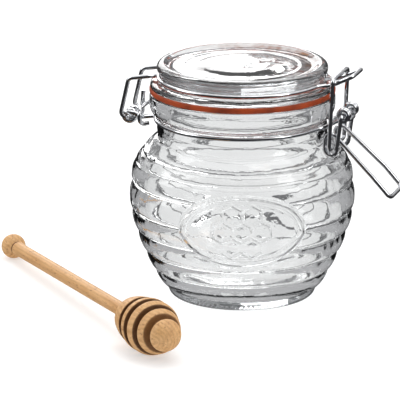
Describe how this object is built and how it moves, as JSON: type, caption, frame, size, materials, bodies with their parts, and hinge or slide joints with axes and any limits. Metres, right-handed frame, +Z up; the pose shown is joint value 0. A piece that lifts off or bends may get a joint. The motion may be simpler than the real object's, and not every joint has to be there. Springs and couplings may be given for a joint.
{
  "type": "clip top honey pot with honey dipper",
  "caption": "Clear glass beehive honey pot with a hinged glass lid held by a wire clasp, and a turned wooden honey dipper lying beside it.",
  "frame": {"origin": "middle of the pot's base, on the surface it stands on", "axes": "+Z up along the pot's axis, +X towards the clasp, -X towards the lid's hinge, oval panel facing nearly -Y"},
  "size_m": [0.2041, 0.1779, 0.112],
  "materials": {
    "glass": "clear pressed glass",
    "seal_rubber": "matt orange rubber",
    "wire": "bright drawn wire",
    "wood": "bare turned beech"
  },
  "bodies": {
    "pot": {"jar_glass": "glass", "neck_wire": "wire", "dipper": "wood"},
    "lid": {"lid_glass": "glass", "seal": "seal_rubber", "lid_wire": "wire"},
    "lever": {"clasp_lever": "wire"},
    "bail": {"clasp_bail": "wire"}
  },
  "joints": [
    {"name": "lid_hinge", "type": "hinge", "parent": "pot", "child": "lid", "pos_m": [-0.0542, 0, 0.0826], "axis": [0, -1, 0], "range_deg": [0, 105]},
    {"name": "lever_pivot", "type": "hinge", "parent": "pot", "child": "lever", "pos_m": [0.0512, 0, 0.0916], "axis": [0, -1, 0], "range_deg": [0, 54]},
    {"name": "bail_pivot", "type": "hinge", "parent": "lever", "child": "bail", "pos_m": [0.046, 0, 0.0758], "axis": [0, -1, 0], "range_deg": [-117, 0]}
  ],
  "couplings": [
    {"joint": "lever_pivot", "follows": "lid_hinge", "ratio": 0.5},
    {"joint": "bail_pivot", "follows": "lid_hinge", "ratio": -1.1}
  ]
}
